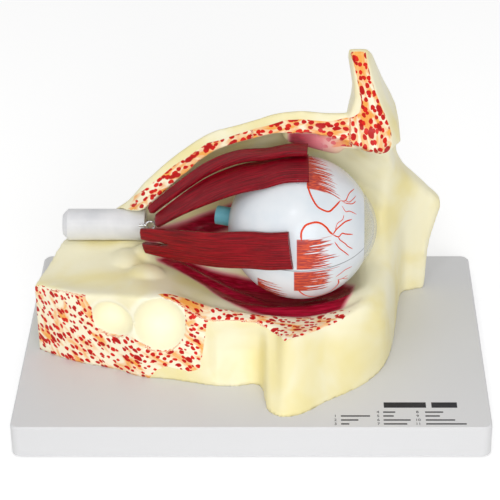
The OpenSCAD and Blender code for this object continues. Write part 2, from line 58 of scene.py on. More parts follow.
# The eyeball's middle and radius, from the boxes round its two halves
BOARD_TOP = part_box("base_board")[1][2] / MM
LOWER_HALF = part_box("sclera_lower")
UPPER_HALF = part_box("sclera_upper")
EYE_R = (UPPER_HALF[1][2] - LOWER_HALF[0][2]) / 2 / MM
EYE_X = LOWER_HALF[0][0] / MM + EYE_R
EYE_Z = (LOWER_HALF[0][2] + UPPER_HALF[1][2]) / 2 / MM
EYE_H = EYE_Z - BOARD_TOP
# The halves part at right angles to the seam, so the joint's axis gives the seam's roll
LIFT_AXIS = next(j["axis"] for j in frame["joints"] if j["name"] == "sclera_lift")
SEAM_ROLL = math.atan2(-LIFT_AXIS[1], LIFT_AXIS[2])

# ---- Camera: fitted to the board's corners in the photograph. Metres, degrees below level,
# millimetres of lens and of sensor, and the lens's sideways shift as a share of the sensor
CAMERA_AT = (0.02309, -0.94854, 0.64440)
CAMERA_DOWN = 30.86
CAMERA_LENS = 141.9
CAMERA_SENSOR = 36
CAMERA_SHIFT = -0.0882

camera_data = bpy.data.cameras.new("photo_camera")
camera_data.lens = CAMERA_LENS
camera_data.sensor_width = CAMERA_SENSOR
camera_data.shift_x = CAMERA_SHIFT
camera_data.clip_start = 0.01
camera = bpy.data.objects.new("photo_camera", camera_data)
camera.location = CAMERA_AT
camera.rotation_euler = (math.radians(90 - CAMERA_DOWN), 0, 0)
bpy.context.collection.objects.link(camera)
bpy.context.scene.camera = camera
bpy.context.scene.view_settings.view_transform = "Standard"


# ---- Shader helpers
class Shader:
    """A node material, built call by call. Each call returns the new node's first output."""

    def __init__(self, name):
        self.material = bpy.data.materials.new(name)
        self.material.use_nodes = True
        self.tree = self.material.node_tree
        self.skin = self.tree.nodes["Principled BSDF"]

    def put(self, socket, value):
        if isinstance(value, bpy.types.NodeSocket):
            self.tree.links.new(value, socket)
        else:
            socket.default_value = value

    def node(self, kind, inputs=None, **settings):
        made = self.tree.nodes.new("ShaderNode" + kind)
        for key, value in settings.items():
            setattr(made, key, value)
        for key, value in (inputs or {}).items():
            self.put(made.inputs[key], value)
        return made

    def product(self, *factors):
        total = factors[0]
        for factor in factors[1:]:
            total = self.math("MULTIPLY", total, factor)
        return total

    def math(self, operation, a, b=0.0):
        return self.node("Math", {0: a, 1: b}, operation=operation).outputs[0]

    def vector(self, operation, a, b=(0, 0, 0)):
        made = self.node("VectorMath", {0: a, 1: b}, operation=operation)
        return made.outputs["Value" if operation == "DISTANCE" else "Vector"]

    def smooth(self, value, low, high):
        """0 below low, 1 above high, eased between; the other way round if low > high."""
        flip = low > high
        inputs = {"Value": value, "From Min": min(low, high), "From Max": max(low, high),
                  "To Min": 1.0 if flip else 0.0, "To Max": 0.0 if flip else 1.0}
        made = self.node("MapRange", inputs, interpolation_type="SMOOTHSTEP")
        return made.outputs[0]

    def mix(self, share, a, b):
        made = self.node("Mix", data_type="RGBA")
        self.put(made.inputs[0], share)
        self.put(made.inputs[6], a)
        self.put(made.inputs[7], b)
        return made.outputs[2]

    def noise(self, where, scale, detail=2.0, warp=0.0):
        made = self.node("TexNoise", {"Vector": where, "Scale": scale, "Detail": detail,
                                      "Distortion": warp})
        return made.outputs["Fac"]

    def stretched(self, where, factors):
        return self.node("Mapping", {"Vector": where, "Scale": factors}).outputs[0]

    def place(self):
        """The point in the model's frame, in metres. It stays with the piece as it moves."""
        return self.node("TexCoord").outputs["Object"]

    def field(self, name):
        return self.node("Attribute", attribute_name=name).outputs["Fac"]

    def bump(self, height, strength, distance):
        made = self.node("Bump", {"Height": height, "Strength": strength, "Distance": distance})
        self.put(self.skin.inputs["Normal"], made.outputs[0])

    def surface(self, **values):
        for key, value in values.items():
            self.put(self.skin.inputs[key.replace("_", " ")], value)
        return self.material


def rgb(red, green, blue):
    """A colour as a screen shows it, 0 to 255, as the linear colour that a shader takes."""
    def linear(c):
        c = c / 255
        return c / 12.92 if c <= 0.04045 else ((c + 0.055) / 1.055) ** 2.4
    return (linear(red), linear(green), linear(blue), 1.0)


# ---- Mesh helpers
def new_piece(name, mesh, body, material, replaced=()):
    obj = bpy.data.objects.new(name, mesh)
    bpy.context.collection.objects.link(obj)
    mesh.materials.clear()
    mesh.materials.append(material)
    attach(obj, body)
    if replaced:
        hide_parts(*replaced)
    return obj


def mesh_from(name, points, faces, smooth=True):
    mesh = bpy.data.meshes.new(name)
    mesh.from_pydata([tuple(p) for p in points], [], faces)
    mesh.update()
    if smooth:
        mesh.shade_smooth()
    return mesh


def facing_out(mesh):
    bm = bmesh.new()
    bm.from_mesh(mesh)
    bmesh.ops.recalc_face_normals(bm, faces=bm.faces)
    bm.to_mesh(mesh)
    bm.free()
    return mesh


def evaluated_mesh(obj, name):
    """The object's mesh with its modifiers applied; the object itself goes."""
    bpy.context.view_layer.update()
    seen = obj.evaluated_get(bpy.context.evaluated_depsgraph_get())
    mesh = bpy.data.meshes.new_from_object(seen)
    mesh.name = name
    bpy.data.objects.remove(obj)
    return mesh


def scratch_copy(node):
    obj = bpy.data.objects.new("scratch", frame["nodes"][node].data.copy())
    bpy.context.collection.objects.link(obj)
    return obj


def coordinates(mesh):
    flat = np.empty(len(mesh.vertices) * 3)
    mesh.vertices.foreach_get("co", flat)
    return flat.reshape(-1, 3) / MM


def normals(mesh):
    flat = np.empty(len(mesh.vertices) * 3)
    mesh.vertices.foreach_get("normal", flat)
    return flat.reshape(-1, 3)


def store(mesh, name, values):
    layer = mesh.attributes.new(name, "FLOAT", "POINT")
    layer.data.foreach_set("value", np.asarray(values, dtype=np.float32))


def eased(values, low, high):
    t = np.clip((values - low) / (high - low), 0, 1)
    return t * t * (3 - 2 * t)


def inside(u, v, outline):
    """Signed distance from the outline's edge, more than 0 inside."""
    ring = np.array(outline, dtype=float)
    best = np.full(len(u), 1e9)
    crossings = np.zeros(len(u), dtype=int)
    for a, b in zip(ring, np.roll(ring, -1, axis=0)):
        run = b - a
        along = ((u - a[0]) * run[0] + (v - a[1]) * run[1]) / (run @ run)
        along = np.clip(along, 0, 1)
        best = np.minimum(best, np.hypot(u - a[0] - along * run[0], v - a[1] - along * run[1]))
        if a[1] != b[1]:
            straddles = (a[1] > v) != (b[1] > v)
            cut = a[0] + (v - a[1]) * run[0] / run[1]
            crossings += straddles & (u < cut)
    return np.where(crossings % 2 == 1, best, -best)


def capsule_distance(points, path):
    """Distance from the skin of a chain of tapered capsules; rows are x, y, height, radius."""
    best = np.full(len(points), 1e9)
    for a, b in zip(path[:-1], path[1:]):
        start = np.array([a[0], a[1], a[2] + BOARD_TOP])
        run = np.array([b[0] - a[0], b[1] - a[1], b[2] - a[2]], dtype=float)
        along = np.clip((points - start) @ run / (run @ run), 0, 1)
        gap = np.linalg.norm(points - start - along[:, None] * run, axis=1)
        best = np.minimum(best, gap - (a[3] + along * (b[3] - a[3])))
    return best


# ---- The bone: the CAD casting with its edges rounded as a moulding's are, then painted
BONE_VOXEL = 1.15
BONE_ROUNDS = 9
FOOT_BAND = 1.3  # points of the casting less than this over the board are set down on it
PAINT_EDGE = 0.9  # half the width over which the edge of a painted face fades
# Limits of the painted faces, which keep each outline's paint off the faces behind it
LEFT_CUT_X, LEFT_CUT_Y = -22, -8
STRIP_HEIGHTS = (28, 55)
SQUAMA_Y = 27
ROOF_CUT_X = (-84, 76)
ROOF_CUT_Y = (10, 27)
BED_HEIGHT = 50
MEDIAL_Y = 57
# The oblique's relief starts at the first x, and its paint thins from the third to the last
OBLIQUE_FADE = (18, 22, 24, 50)

LEFT_CUT = [(-127, 17), (-127, 72), (-92.5, 72), (-91.7, 63.3), (-88.9, 59), (-88.6, 51),
            (-87, 46), (-82, 44.5), (-76, 45.6), (-68.6, 46.6), (-61.9, 43), (-55.9, 39.6),
            (-49.3, 37.9), (-43.1, 40.6), (-38.2, 48.5), (-36.4, 57.7), (-37, 68), (-41, 73),
            (-44, 80), (-24, 80), (-24.6, 57), (-26, 47), (-27.6, 37), (-29.2, 29),
            (-34.7, 26.9), (-41.3, 27.6), (-48, 28.5), (-53.7, 25.6), (-58.4, 18.6),
            (-63.6, 16)]
STRIP_CUT = [(-52, -37), (-45, -41.6), (-25, -41.2), (-10, -40.8), (4, -40.6), (8, -42),
             (13, -46), (18, -54.5), (28, -51.5), (40, -43.5), (50, -39), (54, -34),
             (48, -29), (40, -30.4), (28, -31.6), (13, -32.4), (4, -33.4), (-10, -32.6),
             (-25, -32.4), (-45, -35.2)]
SQUAMA_CUT = [(51, 192), (53.4, 187), (55.3, 183), (57.4, 173.8), (58.6, 166.5), (60.2, 158.6),
              (59, 152.5), (55.5, 149.6), (48, 147.6), (36, 146), (36, 132), (52, 131.5),
              (62, 129.5), (70, 128), (76.2, 129.5), (77.6, 133.8), (77, 139.4), (75.4, 145),
              (73.4, 150.6), (70.8, 156.8), (67.2, 166.5), (65, 173.8), (62.6, 184),
              (61.4, 192)]
# Roof: x, height of the cut's lower and of its upper edge
ROOF_CUT = [(-84, 60, 61), (-75, 66, 70), (-62, 73.5, 83), (-45, 90, 98.6), (-25, 108.5, 113.8),
            (-10, 115.5, 119), (4, 119.5, 123.6), (18, 122, 127.8), (28, 122, 128.4),
            (40, 120.5, 127), (52, 116.8, 127), (64, 112.4, 125), (74, 110.8, 117)]
INFERIOR_BED = [(-54, 9), (-45, 3), (-36, -1), (-27, -5), (-18, -13), (-9, -20.5), (0, -25.6),
                (10, -28.6), (28, -28.8), (41, -29), (49, -26.5), (54, -17), (56, -4), (50, 8),
                (30, 13), (10, 15), (-10, 16), (-26, 15), (-40, 15), (-50, 13)]
INFERIOR_RELIEF = [(-44, 8, 40, 5), (-30, 4, 31, 7), (-14, 0, 23, 8), (4, -6, 18, 8.5),
                   (22, -9, 16, 9), (42, -8, 20, 9)]
MEDIAL_RELIEF = [(-57, 29, 48, 4.5), (-36, 38, 49, 7), (-20, 44.5, 51, 8.5), (-8, 48, 55, 9),
                 (14, 51, 62, 9), (40, 48, 66, 8)]
OBLIQUE_RELIEF = [(22, 27, 118, 6), (36, 25, 116, 7), (46, 27, 111, 6)]
SINUS_LOBES = [((-78, -38, 33.5), (12.5, 17, 10.8)), ((-51, -48, 34.5), (15.5, 21, 17.2))]


def paint_fields(mesh):
    """Stores where the cut faces and the moulded muscles are, 0 to 1 at each point."""
    at = coordinates(mesh)
    out = normals(mesh)
    x, y, z = at[:, 0], at[:, 1], at[:, 2]
    height = z - BOARD_TOP
    open_side = eased(-out[:, 1], 0.3, 0.6)

    def painted(u, v, outline):
        return eased(inside(u, v, outline), -PAINT_EDGE, PAINT_EDGE)

    left = painted(x, z, LEFT_CUT) * open_side * (y < LEFT_CUT_Y) * (x < LEFT_CUT_X)
    strip = painted(x, y, STRIP_CUT) * eased(out[:, 2], 0.25, 0.5)
    strip = strip * (height > STRIP_HEIGHTS[0]) * (height < STRIP_HEIGHTS[1])
    squama = painted(x, z, SQUAMA_CUT) * open_side * (y < SQUAMA_Y)
    roof = np.array(ROOF_CUT, dtype=float)
    low = np.interp(x, roof[:, 0], roof[:, 1])
    high = np.interp(x, roof[:, 0], roof[:, 2])
    facing = out[:, 2] * 0.5 - out[:, 1] * 0.85
    band = eased(height - low, -1.2, 0.6) * eased(high - height, -PAINT_EDGE, PAINT_EDGE)
    band = band * eased(facing, 0.35, 0.65) * (x > ROOF_CUT_X[0]) * (x < ROOF_CUT_X[1])
    band = band * (y > ROOF_CUT_Y[0]) * (y < ROOF_CUT_Y[1])
    store(mesh, "cut", np.maximum.reduce([left, strip, squama, band]))
    bed = eased(inside(x, y, INFERIOR_BED), -3.2, 2.2) * (height < BED_HEIGHT)
    bed = np.maximum(bed, eased(-capsule_distance(at, INFERIOR_RELIEF), -2.6, 0.6))
    medial = eased(-capsule_distance(at, MEDIAL_RELIEF), -4.0, 0.4) * (y < MEDIAL_Y)
    start, full, thinning, end = OBLIQUE_FADE
    oblique = eased(-capsule_distance(at, OBLIQUE_RELIEF), -5.5, 2.5)
    oblique = oblique * (1.0 - 0.65 * eased(x, thinning, end)) * eased(x, start, full)
    store(mesh, "muscle", np.maximum.reduce([bed, medial, oblique]))
    store_spot_grid(mesh, at, out)
    # Paler cream painted into the sinus lobes and just round them: painted light in the hollows
    hollow_painted_light = np.zeros(len(at))
    for middle, radii in SINUS_LOBES:
        scaled = (at - [middle[0], middle[1], middle[2] + BOARD_TOP]) / radii
        hollow_painted_light = np.maximum(hollow_painted_light, eased(1.3 - np.linalg.norm(scaled, axis=1), 0, 0.2))
    store(mesh, "hollow_painted_light", hollow_painted_light)


# Over these heights, in metres above the table, the cut faces get more clouds and larger spots
UPPER_FACES = (0.098, 0.108)
# The spots' grid is turned about this x and height. On the left cut the turn goes with x.
SPOT_ORIGIN = (-84, 24)
SPOT_TURN_X = [-125, -40]
SPOT_TURN = [-66, -30]
# Above this height lie the roof's band, which rises up to x = 0, and then the squama
BAND_HEIGHT = 60
BAND_TURN = 0.45
SQUAMA_FROM_X = 54
SQUAMA_TURN = math.radians(-75)


def store_spot_grid(mesh, at, out):
    """Flat coordinates for the spots, in millimetres, with u along each spot's length."""
    x, y, z = at[:, 0], at[:, 1], at[:, 2]
    upper = z > BOARD_TOP + BAND_HEIGHT
    band = upper & (x < SQUAMA_FROM_X)
    strip = (out[:, 2] > 0.55) & ~upper
    turn = np.radians(np.interp(x, SPOT_TURN_X, SPOT_TURN))
    turn = np.where(upper, SQUAMA_TURN, turn)
    turn = np.where(band, np.where(x < 0, BAND_TURN, 0.0), turn)
    turn = np.where(strip, 0.0, turn)
    u = x - SPOT_ORIGIN[0]
    v = np.where(strip, y, z - BOARD_TOP - SPOT_ORIGIN[1])
    v = np.where(band, z * 0.85 + y * 0.5, v)
    store(mesh, "spot_u", u * np.cos(turn) + v * np.sin(turn))
    store(mesh, "spot_v", v * np.cos(turn) - u * np.sin(turn))


def cut_face(s, at):
    """Paler than the bone, with orange clouds and red spots. Returns its colour, and the spots."""
    grid = s.node("CombineXYZ", {0: s.field("spot_u"), 1: s.field("spot_v"), 2: 0.0}).outputs[0]
    clouds = s.noise(s.stretched(grid, (0.07, 0.17, 1.0)), 1.0, 3.0, 0.8)
    upper = s.smooth(s.node("SeparateXYZ", {0: at}).outputs[2], *UPPER_FACES)
    clouds = s.math("ADD", clouds, s.product(upper, 0.06))
    face = s.mix(s.smooth(clouds, 0.44, 0.68), rgb(252, 243, 214), rgb(246, 170, 80))
    wobble = s.node("TexNoise", {"Vector": grid, "Scale": 0.3, "Detail": 1.0})
    bent = s.vector("ADD", grid, s.vector("MULTIPLY", s.vector(
        "SUBTRACT", wobble.outputs["Color"], (0.5, 0.5, 0.5)), (1.8, 1.8, 0.0)))
    small, lot = spots(s, bent, (0.235, 0.33, 1.0), 0.2, 0.36, upper)
    large = spots(s, bent, (0.08, 0.15, 1.0), 0.04, 0.2, upper)[0]
    red = s.mix(lot, rgb(222, 30, 14), rgb(190, 12, 12))
    red = s.mix(large, red, rgb(184, 10, 12))
    spot = s.math("MAXIMUM", small, large)
    return s.mix(spot, face, red), spot


def bone_material():
    s = Shader("painted_bone")
    at = s.place()
    # cream, a little yellower in broad patches, as an airbrush leaves it
    patches = s.noise(at, 26.0, 3.0, 0.4)
    cream = s.mix(s.smooth(patches, 0.35, 0.7), rgb(246, 240, 208), rgb(240, 227, 164))
    # paler cream where the sinus lobes lie: painted light in the hollows
    cream = s.mix(s.product(s.field("hollow_painted_light"), 0.9), cream, rgb(252, 248, 222))
    face, spot = cut_face(s, at)
    cut = s.smooth(s.field("cut"), 0.42, 0.58)
    colour = s.mix(cut, cream, face)
    # moulded muscles, sprayed on: crimson with fibres along x, pink where the spray thins
    fibres = s.noise(s.stretched(at, (50.0, 900.0, 700.0)), 1.0, 3.0, 0.2)
    crimson = s.mix(s.smooth(fibres, 0.35, 0.7), rgb(142, 2, 32), rgb(186, 20, 58))
    sprayed = s.field("muscle")
    colour = s.mix(s.smooth(sprayed, 0.0, 0.6), colour, rgb(226, 140, 148))
    colour = s.mix(s.smooth(sprayed, 0.4, 0.95), colour, crimson)
    grain = s.noise(at, 380.0, 4.0)
    relief = s.math("ADD", s.product(grain, 0.3), s.product(spot, cut, -0.5))
    s.bump(s.math("ADD", relief, s.product(fibres, sprayed, 0.8)), 0.3, 0.0005)
    rough = s.node("MapRange", {"Value": sprayed, "To Min": 0.34, "To Max": 0.2}).outputs[0]
    return s.surface(Base_Color=colour, Roughness=rough, Specular_IOR_Level=0.2)


def spots(s, grid, factors, least, most, more):
    """Round cells on a stretched grid, larger where more is 1: the spots, and their lots."""
    cells = s.node("TexVoronoi", {"Vector": s.stretched(grid, factors), "Scale": 1.0,
                                  "Randomness": 0.85}, voronoi_dimensions="2D")
    lots = s.node("SeparateColor", {0: cells.outputs["Color"]}).outputs
    reach = s.node("MapRange", {"Value": lots[0], "To Min": least, "To Max": most}).outputs[0]
    reach = s.math("ADD", reach, s.product(more, 0.07))
    spot = s.smooth(s.math("SUBTRACT", cells.outputs["Distance"], reach), 0.03, -0.03)
    return spot, lots[1]


def make_bone():
    obj = scratch_copy("bony_orbit")
    remesh = obj.modifiers.new("remesh", "REMESH")
    remesh.mode = "VOXEL"
    remesh.voxel_size = BONE_VOXEL * MM
    soften = obj.modifiers.new("soften", "SMOOTH")
    soften.factor = 0.5
    soften.iterations = BONE_ROUNDS
    mesh = evaluated_mesh(obj, "bone_casting")
    at = coordinates(mesh)
    foot = at[:, 2] < BOARD_TOP + FOOT_BAND
    at[foot, 2] = BOARD_TOP
    mesh.vertices.foreach_set("co", (at * MM).ravel())
    mesh.update()
    mesh.shade_smooth()
    paint_fields(mesh)
    return new_piece("bone_casting", mesh, "orbit", bone_material(), ["bony_orbit"])


make_bone()


# ---- Muscles: the CAD's straps swept again with their fibres
BEND = 1 / EYE_R
STRAP_T = 3.8
STRAP_GAP = 0.5
LEVATOR_T = 4.4
SIDE_EASE = 0.5
STRAP_R = EYE_R + STRAP_GAP + STRAP_T / 2
LEVATOR_R = EYE_R + 2 * STRAP_GAP + STRAP_T + LEVATOR_T / 2


def on_side(x, h, lean, half_w):
    """A row of a strap's middle line on the eyeball's side, level with its skin."""
    r = STRAP_R + SIDE_EASE
    y = -math.sqrt(r * r - (x - EYE_X) ** 2 - (h - EYE_H) ** 2)
    rise = h - EYE_H + lean * (x - EYE_X)
    return (x, y, h, lean, -rise / y, 1, half_w, STRAP_T / 2, BEND)


def on_top(x, y, r, across, half_w, half_t):
    h = EYE_H + math.sqrt(r * r - (x - EYE_X) ** 2 - y * y)
    return (x, y, h, *across, half_w, half_t, BEND)


# Rows: x, y, height, vector across, half width, half thickness, bend
LATERAL_ROWS = [
    (-62.5, 6.5, 60, 0, 0, 1, 5.5, 0.3 * STRAP_T, 0),
    (-61.5, 6, 60.2, 0, 0, 1, 7.6, 0.48 * STRAP_T, 0),
    (-52, -0.5, 62.5, 0, 0, 1, 8.6, 0.5 * STRAP_T, 0),
    (-40, -9, 65.5, 0, 0, 1, 9.6, 0.5 * STRAP_T, 0.004),
    (-20, -22.6, 70.8, 0, 0, 1, 10.6, 0.5 * STRAP_T, 0.5 * BEND),
    on_side(-2, 76, 0, 10.8),
    on_side(10, 79.5, 0.05, 10.6),
    on_side(21, 81.5, -0.12, 10.6)]
SUPERIOR_ROWS = [
    (-54.5, 8.9, 71, 0, 0.8, 0.6, 2.6, 0.35 * STRAP_T, 0),
    (-53.5, 8.4, 71.7, 0, 0.8, 0.6, 4, 0.5 * STRAP_T, 0),
    (-40, 3.5, 84.1, 0, 0.8, 0.6, 5.8, 0.5 * STRAP_T, 0.004),
    (-24, -0.5, 96.5, 0, 0.9, 0.4, 9, 0.5 * STRAP_T, 0.6 * BEND),
    (-8, -4, 105.6, 0, 0.96, 0.28, 10.6, 0.5 * STRAP_T, 0.8 * BEND),
    on_top(6, -5.5, STRAP_R + 0.8, (0, 0.98, 0.18), 11.6, 0.5 * STRAP_T),
    on_top(18, -5.5, STRAP_R, (0, 0.99, 0.13), 12, 0.5 * STRAP_T),
    on_top(31, -5.5, STRAP_R, (0, 0.99, 0.13), 12, 0.5 * STRAP_T)]
LEVATOR_ROWS = [
    (-58, 13, 75.6, 0, 0.7, 0.7, 1.8, 0.3 * LEVATOR_T, 0),
    (-57, 12.9, 76.5, 0, 0.7, 0.7, 2.7, 0.42 * LEVATOR_T, 0),
    (-40, 10.8, 92.2, 0, 0.75, 0.65, 3.4, 0.45 * LEVATOR_T, 0),
    (-24, 8.6, 105.2, 0, 0.9, 0.4, 4.2, 0.48 * LEVATOR_T, 0),
    (-8, 7.4, 112.7, 0, 1, 0.1, 5.2, 0.5 * LEVATOR_T, 0),
    on_top(8, 6, LEVATOR_R + 0.4, (0, 1, -0.1), 6, 0.5 * LEVATOR_T),
    on_top(20, 5, LEVATOR_R, (0, 1, -0.1), 6.4, 0.5 * LEVATOR_T),
    on_top(30.5, 4.5, LEVATOR_R, (0, 1, -0.1), 6.4, 0.5 * LEVATOR_T)]
STRAP_SIDES = 56
STRAP_STEPS = 10
SQUARENESS = 4
THINNEST = 0.3  # share of a strap's half thickness that its grooves leave
FIBRE_MAP = 100  # millimetres to one unit of the fibres' map
UNDERSIDE_SHIFT = 0.5  # the underside's place in that map, away from the upper side's


def catmull(rows, steps):
    rows = [np.array(r, dtype=float) for r in rows]
    fine = []
    for i in range(len(rows) - 1):
        p = [rows[min(max(i + k, 0), len(rows) - 1)] for k in (-1, 0, 1, 2)]
        for s in range(steps):
            t = s / steps
            fine.append(0.5 * (2 * p[1] + (p[2] - p[0]) * t
                               + (2 * p[0] - 5 * p[1] + 4 * p[2] - p[3]) * t * t
                               + (3 * p[1] - p[0] - 3 * p[2] + p[3]) * t ** 3))
    return fine + [rows[-1]]


def unit(v):
    return v / np.linalg.norm(v)


def groove(place, along, seed):
    """How far a fibre's valley sinks, 0 to 1, at this place across the strap."""
    rng = random.Random(seed)
    total = 0.0
    for wave in (3, 5, 8, 13):
        phase = rng.uniform(0, 6.28)
        drift = rng.uniform(-1.2, 1.2)
        total += math.sin(wave * place * 3.1 + phase + drift * along * 2) / math.sqrt(wave)
    return 0.5 + 0.25 * total


def strap_mesh(name, rows, seed, depth):
    """A strap swept through its rows. The first row only closes its rear end, as in the CAD."""
    fine = [np.array(rows[0], dtype=float)] + catmull(rows[1:], STRAP_STEPS)
    points, faces, uv = [], [], []
    travelled = 0.0
    for i, p in enumerate(fine):
        before, after = fine[max(i - 1, 0)], fine[min(i + 1, len(fine) - 1)]
        way = unit(after[:3] - before[:3])
        out = unit(np.cross(way, p[3:6]))
        across = np.cross(out, way)
        if i:
            travelled += np.linalg.norm(p[:3] - fine[i - 1][:3])
        for k in range(STRAP_SIDES):
            a = 2 * math.pi * (k + 0.5) / STRAP_SIDES
            c, s = math.cos(a), math.sin(a)
            w = math.copysign(abs(c) ** (2 / SQUARENESS), c)
            h = math.copysign(abs(s) ** (2 / SQUARENESS), s)
            sink = depth * groove(w, travelled / 40, seed) * min(1, abs(h) * 1.2)
            height = h * max(p[7] - sink, THINNEST * p[7]) - p[8] * (w * p[6]) ** 2 / 2
            q = p[:3] + w * p[6] * across + height * out
            points.append((q[0] * MM, q[1] * MM, (q[2] + BOARD_TOP) * MM))
            shift = UNDERSIDE_SHIFT if s < 0 else 0
            uv.append((travelled / FIBRE_MAP, w * p[6] / FIBRE_MAP + shift))
    n = STRAP_SIDES
    for r in range(len(fine) - 1):
        for k in range(n):
            m = (k + 1) % n
            faces.append((r * n + k, r * n + m, (r + 1) * n + m, (r + 1) * n + k))
    faces.append(tuple(range(n - 1, -1, -1)))
    faces.append(tuple((len(fine) - 1) * n + k for k in range(n)))
    mesh = mesh_from(name, points, faces)
    layer = mesh.uv_layers.new(name="fibres")
    for loop in mesh.loops:
        layer.data[loop.index].uv = uv[loop.vertex_index]
    for face in mesh.polygons[-2:]:
        face.use_smooth = False
    return facing_out(mesh)


def muscle_material(name, dark, light):
    s = Shader(name)
    uv = s.node("UVMap").outputs[0]
    long_streaks = s.noise(s.stretched(uv, (5.0, 190.0, 1.0)), 1.0, 4.0, 0.3)
    fine_streaks = s.noise(s.stretched(uv, (14.0, 620.0, 1.0)), 1.0, 3.0, 0.2)
    # The darker tone follows the low places of the bump below: fibre colour, and also painted
    # shade in the grooves
    base = s.mix(s.smooth(long_streaks, 0.36, 0.66), dark, light)
    # The pale fine streaks lie on the raised fibres: painted highlights, a painted sheen on the
    # straps
    pale = s.product(s.smooth(fine_streaks, 0.62, 0.8), 0.35)
    colour = s.mix(pale, base, rgb(214, 88, 100))
    height = s.math("ADD", long_streaks, s.product(fine_streaks, 0.6))
    s.bump(height, 0.55, 0.0005)
    return s.surface(Base_Color=colour, Roughness=0.2, Specular_IOR_Level=0.16)


def add_muscles():
    upper = muscle_material("upper_muscle", rgb(98, 0, 14), rgb(154, 0, 26))
    lower = muscle_material("side_muscle", rgb(104, 0, 12), rgb(158, 2, 22))
    mesh = strap_mesh("superior_rectus_strap", SUPERIOR_ROWS, 3, 0.7)
    new_piece("superior_rectus_strap", mesh, "upper_straps", upper, ["superior_rectus"])
    mesh = strap_mesh("levator_strap", LEVATOR_ROWS, 5, 0.7)
    new_piece("levator_strap", mesh, "upper_straps", upper, ["levator_palpebrae"])
    mesh = strap_mesh("lateral_rectus_strap", LATERAL_ROWS, 8, 0.55)
    mesh = with_slot(mesh)
    new_piece("lateral_rectus_strap", mesh, "side_strap", lower, ["lateral_rectus"])


# The wedge: where it starts, its turns about Z and Y, its depth, and its rows of x and width
SLOT_FROM = (-62, 6, 60)
SLOT_TURNS = (-35, -13)
SLOT_DEPTH = 14
SLOT_ROWS = [(-7, 3.2), (13.3, 2.56), (19, 0.5)]


def with_slot(mesh):
    """Cuts the wedge between the lateral rectus's two heads."""
    obj = bpy.data.objects.new("scratch", mesh)
    bpy.context.collection.objects.link(obj)
    points = []
    for x, tall in SLOT_ROWS:
        for y in (-SLOT_DEPTH / 2, SLOT_DEPTH / 2):
            points += [(x, y, -tall / 2), (x, y, tall / 2)]
    faces = [(0, 1, 3, 2), (8, 10, 11, 9)]
    for r in (0, 4):
        faces += [(r, r + 4, r + 5, r + 1), (r + 2, r + 3, r + 7, r + 6),
                  (r, r + 2, r + 6, r + 4), (r + 1, r + 5, r + 7, r + 3)]
    about_z, about_y = (math.radians(a) for a in SLOT_TURNS)
    turn = Matrix.Rotation(about_z, 3, "Z") @ Matrix.Rotation(about_y, 3, "Y")
    start = Vector((SLOT_FROM[0], SLOT_FROM[1], SLOT_FROM[2] + BOARD_TOP))
    placed = [(start + turn @ Vector(p)) * MM for p in points]
    cutter = bpy.data.objects.new("cutter", facing_out(mesh_from("cutter", placed, faces, False)))
    bpy.context.collection.objects.link(cutter)
    cut = obj.modifiers.new("slot", "BOOLEAN")
    cut.operation = "DIFFERENCE"
    cut.solver = "MANIFOLD"
    cut.object = cutter
    done = evaluated_mesh(obj, "lateral_rectus_strap")
    bpy.data.objects.remove(cutter)
    return done


add_muscles()


# ---- The eyeball's paint
MUSCLE_RED = rgb(222, 74, 0)
# Tendon patches: face (0 side, 1 top), across from and to, x from and to, the slant of the
# far end with the place across, and how dense the strokes are at their start
TENDONS = [(0, 88.9, 106.5, 24.5, 43, 0.0, 0.53), (0, 72, 87.4, 23, 43, 0.3, 0.58),
           (0, 62, 77, 3, 18, -0.75, 0.46), (1, -19, 16, 30, 42, -0.3, 0.52)]


# A patch keeps to its own face: over the first height on top, beyond the first y at the side
TOP_FACE = (112, 116)
SIDE_FACE = (-14, -18)
RAGGED = 26.0  # how far the strokes' ends stray, in millimetres


def tendon_strokes(s, at, patch):
    """Strokes along x, full at the patch's start and thinning to a ragged far end."""
    on_top, low, high, start, end, slant, density = patch
    split = s.node("SeparateXYZ", {0: at}).outputs
    across = split[1] if on_top else split[2]
    middle = (low + high) / 2
    along_strokes = s.node("CombineXYZ", {0: s.product(split[0], 0.05),
                                          1: s.product(across, 1.3), 2: float(low)})
    lines = s.noise(along_strokes.outputs[0], 1.0, 2.0, 0.3)
    over_strokes = s.node("CombineXYZ", {0: 3.0, 1: s.product(across, 0.9), 2: float(start)})
    comb = s.noise(over_strokes.outputs[0], 1.0, 2.0)
    reach = s.math("ADD", end - middle * slant, s.product(across, slant))
    reach = s.math("ADD", reach, s.product(s.math("SUBTRACT", comb, 0.5), RAGGED))
    left = s.math("DIVIDE", s.math("SUBTRACT", reach, split[0]), float(end - start))
    threshold = s.math("SUBTRACT", 1.0 - density, s.product(s.math("MINIMUM", left, 0.9), 0.2))
    threshold = s.math("ADD", threshold, s.product(s.smooth(left, 0.75, 0.4), 0.04))
    face = s.smooth(split[2], *TOP_FACE) if on_top else s.smooth(split[1], *SIDE_FACE)
    return s.product(s.smooth(s.math("SUBTRACT", lines, threshold), -0.02, 0.03),
                     s.smooth(across, low - 0.3, low + 0.4),
                     s.smooth(across, high + 0.3, high - 0.4),
                     s.smooth(split[0], start - 0.3, start + 0.3),
                     s.smooth(left, 0.0, 0.12), face)


